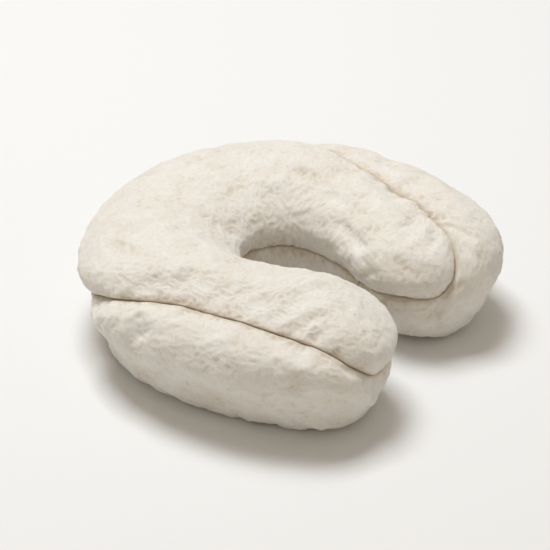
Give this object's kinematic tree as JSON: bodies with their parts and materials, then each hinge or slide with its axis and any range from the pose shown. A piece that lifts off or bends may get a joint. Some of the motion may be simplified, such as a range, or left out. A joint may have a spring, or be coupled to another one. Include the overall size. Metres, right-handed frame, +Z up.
{
  "type": "face cradle cushion",
  "caption": "Horseshoe face cushion for a massage table: a foam core in a zipped vinyl skin under a fitted, elasticated fleece cover.",
  "frame": {"origin": "middle of the underside: the box's centre in X and Y, on the resting plane", "axes": "+Z up out of the face side, +Y towards the closed crown, +X to the right"},
  "size_m": [0.335, 0.3182, 0.1],
  "materials": {
    "fleece": "matte",
    "elastic": "matte",
    "vinyl": "satin",
    "memory_foam": "matte",
    "core_foam": "matte",
    "loop_tape": "matte",
    "zip_tape": "matte",
    "zip_teeth": "satin",
    "zip_metal": "satin"
  },
  "bodies": {
    "cushion": {"fleece_top_panel": "fleece", "fleece_outer_band": "fleece", "fleece_inner_band": "fleece", "hem_elastic": "elastic", "vinyl_top_panel": "vinyl", "vinyl_outer_boxing": "vinyl", "vinyl_inner_boxing": "vinyl", "vinyl_bottom_panel": "vinyl", "memory_foam_layer": "memory_foam", "support_foam_core": "core_foam", "loop_strip_right_arm": "loop_tape", "loop_strip_left_arm": "loop_tape", "loop_strip_right_shoulder": "loop_tape", "loop_strip_left_shoulder": "loop_tape", "zip_tape_front": "zip_tape", "zip_tape_rear": "zip_tape", "zip_teeth_front": "zip_teeth", "zip_teeth_rear": "zip_teeth", "zip_end_stop": "zip_metal", "zip_top_stops": "zip_metal"},
    "slider": {"zip_slider": "zip_metal"},
    "pull_tab": {"zip_pull_tab": "zip_metal"}
  },
  "joints": [
    {"name": "zip_slide", "type": "slide", "parent": "cushion", "child": "slider", "axis": [-1, 0, 0], "range_m": [0, 0.1272]},
    {"name": "pull_swing", "type": "hinge", "parent": "slider", "child": "pull_tab", "pos_m": [0.0636, 0.07815, 0.0049], "axis": [0, -1, 0], "range_deg": [0, 170]}
  ]
}
